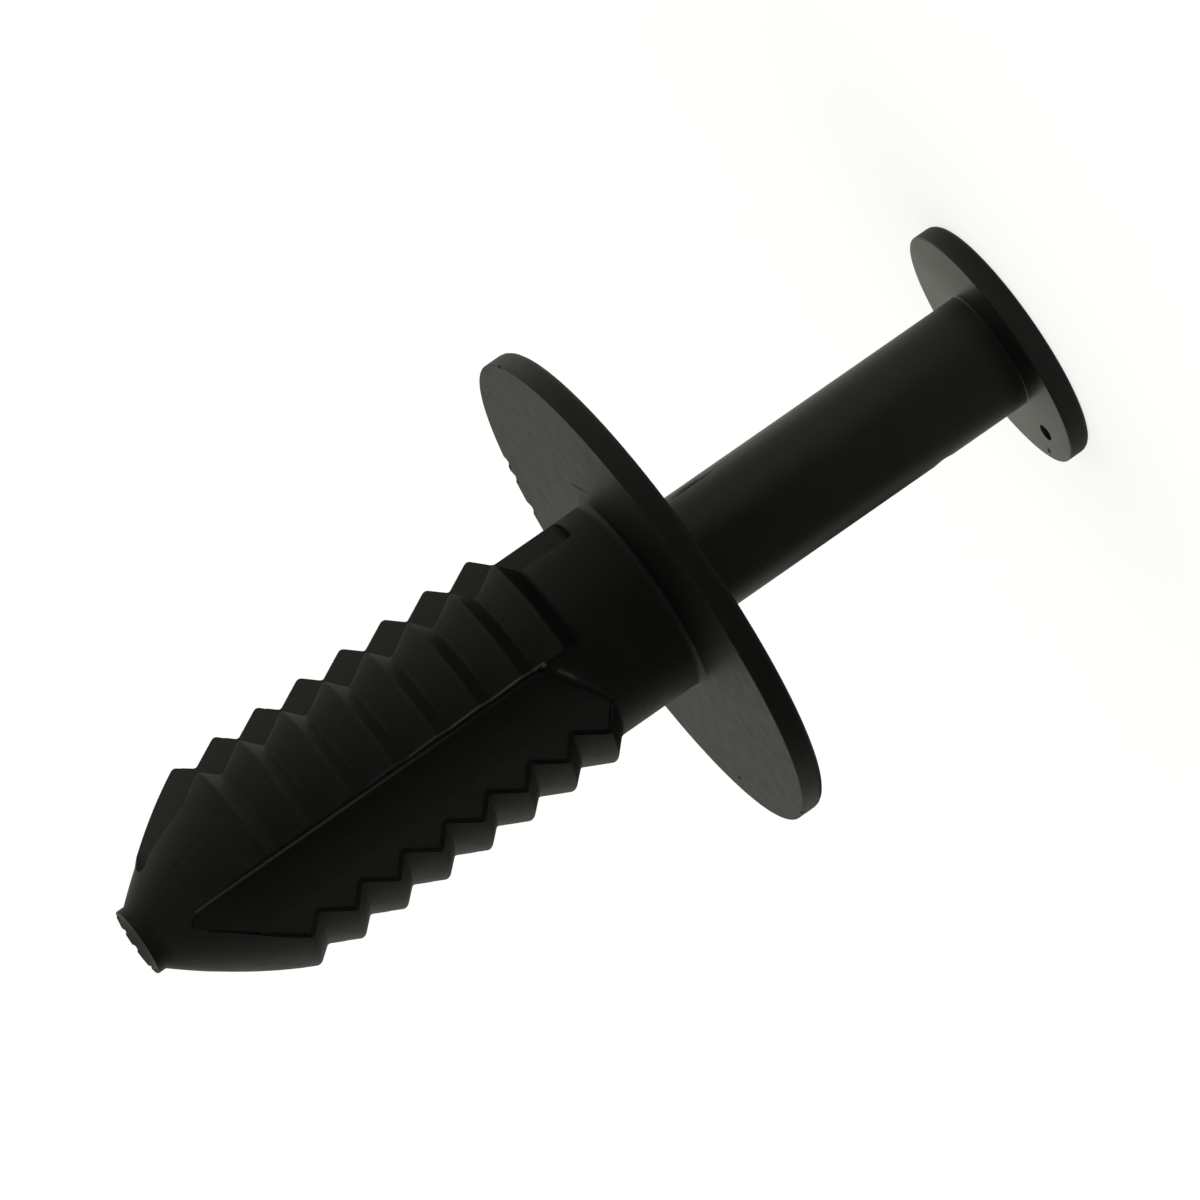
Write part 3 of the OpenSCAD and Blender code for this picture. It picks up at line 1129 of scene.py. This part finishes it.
@dataclass
class DrivePin:
    """The drive pin: round head, straight shank and tapered tip. Sizes are in mm, angles in degrees."""

    finish: MouldedPlastic
    # Head, shank and tip
    shank_r: float = 2.35
    head_t: float = 0.95
    head_rim: float = 0.32
    shoulder_edge: float = 0.06
    head_fillet: float = 0.06
    tip_r: float = 1.5
    tip_l: float = 1.1
    tip_edge: float = 0.1
    # Marks on the shank, and the ejector's marks on the head
    shaving: Blemish = Blemish((2.177, -0.711, 13.2), (0.09, 0.16, 0.85), -18.1)
    slit: Blemish = Blemish((2.158, -0.93, 13.1), (0.14, 0.05, 0.95), -23.3)
    shank_dent: Blemish = Blemish((-2.42, 0.0, 4.7), (0.14, 0.7, 0.5))
    ejector_dip_at: Pair = (-3.64, 0.2)
    ejector_dip: Triple = (0.34, 0.5, 0.3)
    ejector_speck_at: Pair = (-4.27, 1.5)
    ejector_speck: Triple = (0.1, 0.25, 0.06)
    # Fineness of the mesh, and the angle from which an edge is shaded sharp
    columns: int = 192
    corner_segments: int = 5
    sharp_angle: float = 32.0
    # Overall sizes, from the frame
    head_r: float = field(init=False)
    foot_z: float = field(init=False)
    tip_z: float = field(init=False)

    def __post_init__(self) -> None:
        """Take the overall sizes from the CAD node."""
        low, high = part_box("drive_pin")
        self.head_r = high.x / MM
        self.foot_z = low.z / MM
        self.tip_z = high.z / MM

    @property
    def shoulder_z(self) -> float:
        """Height of the head's face towards the sleeve."""
        return self.foot_z + self.head_t

    def outline(self) -> list[Corner]:
        """Work out the pin's turned outline.

        Returns:
            The corners from the middle of the head's outer face to the tip.
        """
        return [
            Corner(0.0, self.foot_z),
            Corner(self.head_r, self.foot_z, self.head_rim),
            Corner(self.head_r, self.shoulder_z, self.shoulder_edge),
            Corner(self.shank_r, self.shoulder_z, self.head_fillet),
            Corner(self.shank_r, self.tip_z - self.tip_l, self.tip_edge),
            Corner(self.tip_r, self.tip_z, self.tip_edge),
            Corner(0.0, self.tip_z),
        ]

    def dents(self) -> list[Blemish]:
        """List the slit beside the shaving, the dent in the shank and the ejector's marks on the head.

        Returns:
            The shapes to cut away.
        """
        return [
            self.slit,
            self.shank_dent,
            Blemish((*self.ejector_dip_at, self.shoulder_z), self.ejector_dip),
            Blemish((*self.ejector_speck_at, self.shoulder_z), self.ejector_speck),
        ]

    def build(self) -> bpy.types.Object:
        """Model the pin and dress it.

        Returns:
            The finished piece, riding on the pin's body.
        """
        bm = bmesh.new()
        turned_mesh(bm, self.outline(), self.columns, self.corner_segments)
        piece = make_object("pin_moulding", bm)
        combine(piece, [self.shaving.build()], Combine.ADD)
        combine(piece, [dent.build() for dent in self.dents()], Combine.CUT_AWAY)
        smooth_shade(piece, self.sharp_angle)
        piece.data.materials.clear()
        piece.data.materials.append(self.finish.build())
        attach(piece, Body.PIN.value)
        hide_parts("drive_pin")
        return piece


@dataclass(frozen=True)
class Glow:
    """A broad patch of light: where it lies, the cosines where it starts and is full, and its level."""

    towards: Triple
    spread: Pair
    level: float


class ShaderNodes:
    """Adds nodes that do sums to a tree."""

    def __init__(self, tree: bpy.types.NodeTree) -> None:
        """Keep the tree that nodes are added to."""
        self.tree = tree

    def math(self, operation: str, first: bpy.types.NodeSocket,
             second: bpy.types.NodeSocket) -> bpy.types.NodeSocket:
        """Add a Math node to two sockets.

        Args:
            operation: The node's operation.
            first: The first value.
            second: The second value.

        Returns:
            The result's socket.
        """
        node = self.tree.nodes.new("ShaderNodeMath")
        node.operation = operation
        self.tree.links.new(first, node.inputs[0])
        self.tree.links.new(second, node.inputs[1])
        return node.outputs[0]

    def vector(self, operation: str, value: bpy.types.NodeSocket, fixed: Vector,
               result: str) -> bpy.types.NodeSocket:
        """Add a Vector Math node between a socket and a fixed vector.

        Args:
            operation: The node's operation.
            value: The first vector.
            fixed: The second vector.
            result: The name of the output to use.

        Returns:
            The result's socket.
        """
        node = self.tree.nodes.new("ShaderNodeVectorMath")
        node.operation = operation
        node.inputs[1].default_value = fixed
        self.tree.links.new(value, node.inputs[0])
        return node.outputs[result]

    def smooth_range(self, value: bpy.types.NodeSocket, limits: Pair, levels: Pair) -> bpy.types.NodeSocket:
        """Add a Map Range node with a smooth step.

        Args:
            value: The value to map.
            limits: Where the step starts and ends.
            levels: The results before and after the step.

        Returns:
            The result's socket.
        """
        node = self.tree.nodes.new("ShaderNodeMapRange")
        node.interpolation_type = "SMOOTHSTEP"
        node.inputs["From Min"].default_value = limits[0]
        node.inputs["From Max"].default_value = limits[1]
        node.inputs["To Min"].default_value = levels[0]
        node.inputs["To Max"].default_value = levels[1]
        self.tree.links.new(value, node.inputs["Value"])
        return node.outputs["Result"]


@dataclass
class Studio:
    """Floor, light and camera. The camera's values are in degrees and mm."""

    # Camera, at the photograph's viewing angle
    elevation: float = 10.048
    roll: float = 235.206
    distance: float = 536.86
    aim: Triple = (0.631, 0.0, 18.106)
    focal_px: float = 14782.7
    image_px: float = 1200.0
    sensor_mm: float = 36.0
    clip_m: Pair = (0.01, 20.0)
    # Floor: its size, its paper in bounced light, and its white and its shadow as the camera sees them
    floor_m: float = 4.0
    paper_colour: Triple = (0.8, 0.8, 0.8)
    shadow_colour: Triple = (0.35, 0.35, 0.35)
    white_level: float = 0.78
    # Light round the middle of the rivet, and a dark card on the floor that only reflections show
    middle_z: float = 22.0
    light_colour: Triple = (1.0, 0.985, 0.87)
    fill_level: float = 0.8
    dark_level: float = 0.04
    glows: tuple[Glow, ...] = (
        Glow((0.0, 0.99, 0.1), (-0.1, 1.0), 0.45),
        Glow((0.95, -0.1, -0.2), (0.25, 1.0), 0.23),
        Glow((0.1, -0.3, 0.95), (0.1, 1.0), 0.045),
        Glow((0.1, 0.0, -1.0), (0.3, 0.9), 0.1),
    )
    card_mm: Triple = (-22.0, 42.0, 0.0)
    card_edge_mm: Pair = (12.0, 32.0)
    card_share: float = 0.12

    def add_level(self, tree: bpy.types.NodeTree, direction: bpy.types.NodeSocket) -> bpy.types.NodeSocket:
        """Add nodes that work out how bright the studio is in a direction.

        Args:
            tree: The node tree to add to.
            direction: A unit vector, away from the object.

        Returns:
            The socket with the brightness.
        """
        sums = ShaderNodes(tree)
        total = tree.nodes.new("ShaderNodeValue").outputs[0]
        total.default_value = self.dark_level
        for glow in self.glows:
            facing = sums.vector("DOT_PRODUCT", direction, Vector(glow.towards).normalized(), "Value")
            total = sums.math("ADD", total, sums.smooth_range(facing, glow.spread, (0.0, glow.level)))
        return total

    def add_mirror_glow(self, tree: bpy.types.NodeTree) -> bpy.types.NodeSocket:
        """Add what reflections show of the floor: the studio's light, with a dark card.

        Args:
            tree: The floor's node tree.

        Returns:
            The socket with the shader.
        """
        nodes, links = tree.nodes, tree.links
        sums = ShaderNodes(tree)
        spot = nodes.new("ShaderNodeNewGeometry").outputs["Position"]
        away = sums.vector("SUBTRACT", spot, Vector((0.0, 0.0, self.middle_z * MM)), "Vector")
        direction = nodes.new("ShaderNodeVectorMath")
        direction.operation = "NORMALIZE"
        links.new(away, direction.inputs[0])
        from_card = sums.vector("DISTANCE", spot, Vector(self.card_mm) * MM, "Value")
        edge = (self.card_edge_mm[0] * MM, self.card_edge_mm[1] * MM)
        share = sums.smooth_range(from_card, edge, (self.card_share, 1.0))
        level = self.add_level(tree, direction.outputs["Vector"])
        glow = nodes.new("ShaderNodeEmission")
        glow.inputs["Color"].default_value = (*self.light_colour, 1.0)
        links.new(sums.math("MULTIPLY", level, share), glow.inputs["Strength"])
        return glow.outputs[0]

    def floor_material(self) -> bpy.types.Material:
        """Make the floor's paper: white to the camera, with a shadow, and part of the studio in reflections.

        Returns:
            The finished material.
        """
        material = bpy.data.materials.new("floor_white")
        material.use_nodes = True
        tree = material.node_tree
        nodes, links = tree.nodes, tree.links
        nodes.remove(nodes["Principled BSDF"])
        paper = nodes.new("ShaderNodeBsdfDiffuse")
        paper.inputs["Color"].default_value = (*self.paper_colour, 1.0)
        shadow_paper = nodes.new("ShaderNodeBsdfDiffuse")
        shadow_paper.inputs["Color"].default_value = (*self.shadow_colour, 1.0)
        white = nodes.new("ShaderNodeEmission")
        white.inputs["Strength"].default_value = self.white_level
        shown = nodes.new("ShaderNodeAddShader")
        links.new(white.outputs[0], shown.inputs[0])
        links.new(shadow_paper.outputs[0], shown.inputs[1])

        path = nodes.new("ShaderNodeLightPath")
        glossy, transmitted = path.outputs["Is Glossy Ray"], path.outputs["Is Transmission Ray"]
        reflected = nodes.new("ShaderNodeMixShader")
        links.new(ShaderNodes(tree).math("MAXIMUM", glossy, transmitted), reflected.inputs["Fac"])
        links.new(paper.outputs[0], reflected.inputs[1])
        links.new(self.add_mirror_glow(tree), reflected.inputs[2])
        seen = nodes.new("ShaderNodeMixShader")
        links.new(path.outputs["Is Camera Ray"], seen.inputs["Fac"])
        links.new(reflected.outputs[0], seen.inputs[1])
        links.new(shown.outputs[0], seen.inputs[2])
        links.new(seen.outputs[0], nodes["Material Output"].inputs["Surface"])
        return material

    def build_floor(self) -> None:
        """Lay the white floor."""
        bm = bmesh.new()
        bmesh.ops.create_grid(bm, x_segments=1, y_segments=1, size=self.floor_m / 2.0)
        mesh = bpy.data.meshes.new("floor")
        bm.to_mesh(mesh)
        bm.free()
        floor = bpy.data.objects.new("floor", mesh)
        bpy.context.scene.collection.objects.link(floor)
        mesh.materials.append(self.floor_material())

    def build_light(self) -> None:
        """Light the object from behind and from one side, with the front kept dark as in the photograph."""
        world = bpy.data.worlds.new("studio")
        bpy.context.scene.world = world
        world.use_nodes = True
        tree = world.node_tree
        sums = ShaderNodes(tree)
        sky = tree.nodes["Background"]
        direction = tree.nodes.new("ShaderNodeTexCoord").outputs["Generated"]
        path = tree.nodes.new("ShaderNodeLightPath")
        colour = tree.nodes.new("ShaderNodeMixRGB")
        colour.inputs["Color1"].default_value = (*self.light_colour, 1.0)
        colour.inputs["Color2"].default_value = (1.0, 1.0, 1.0, 1.0)
        tree.links.new(path.outputs["Is Camera Ray"], colour.inputs["Fac"])
        tree.links.new(colour.outputs["Color"], sky.inputs["Color"])
        fill = tree.nodes.new("ShaderNodeValue").outputs[0]
        fill.default_value = self.fill_level
        soft = sums.math("MULTIPLY", path.outputs["Is Diffuse Ray"], fill)
        level = sums.math("MAXIMUM", soft, self.add_level(tree, direction))
        shown = sums.math("MAXIMUM", path.outputs["Is Camera Ray"], level)
        tree.links.new(shown, sky.inputs["Strength"])

    def build_camera(self) -> None:
        """Set the camera at the photograph's viewing angle."""
        rise, roll = math.radians(self.elevation), math.radians(self.roll)
        back = Vector((0.0, -math.cos(rise), math.sin(rise)))
        level_right = Vector((1.0, 0.0, 0.0))
        level_up = back.cross(level_right)
        right = math.cos(roll) * level_right + math.sin(roll) * level_up
        up = back.cross(right)
        lens = bpy.data.cameras.new("camera")
        lens.sensor_width = self.sensor_mm
        lens.lens = self.sensor_mm * self.focal_px / self.image_px
        lens.clip_start, lens.clip_end = self.clip_m
        camera = bpy.data.objects.new("camera", lens)
        turn = Matrix((right, up, back)).transposed().to_4x4()
        camera.matrix_world = Matrix.Translation((Vector(self.aim) + back * self.distance) * MM) @ turn
        bpy.context.scene.collection.objects.link(camera)
        bpy.context.scene.camera = camera

    def build(self) -> None:
        """Make the floor, the light and the camera."""
        bpy.context.scene.view_settings.view_transform = "Standard"
        self.build_floor()
        self.build_light()
        self.build_camera()


def main() -> None:
    """Build the rivet and its studio."""
    logging.basicConfig(level=logging.INFO, format="%(message)s")
    Studio().build()
    sleeve_plastic = MouldedPlastic("sleeve_plastic", colour=(0.0046, 0.0046, 0.0047),
                                    worn_colour=(0.0066, 0.0066, 0.0067), roughness=(0.43, 0.51), ior=1.46)
    pin_plastic = MouldedPlastic("pin_plastic", colour=(0.008, 0.008, 0.0082),
                                 worn_colour=(0.011, 0.011, 0.0112), roughness=(0.26, 0.32),
                                 cloud_scale=420.0, ior=1.54)
    builders: list[Callable[[], bpy.types.Object]] = [
        Sleeve(sleeve_plastic).build,
        DrivePin(pin_plastic).build,
    ]
    for build in builders:
        piece = build()
        LOG.info("%s: %d faces", piece.name, len(piece.data.polygons))


if __name__ == "__main__":
    main()
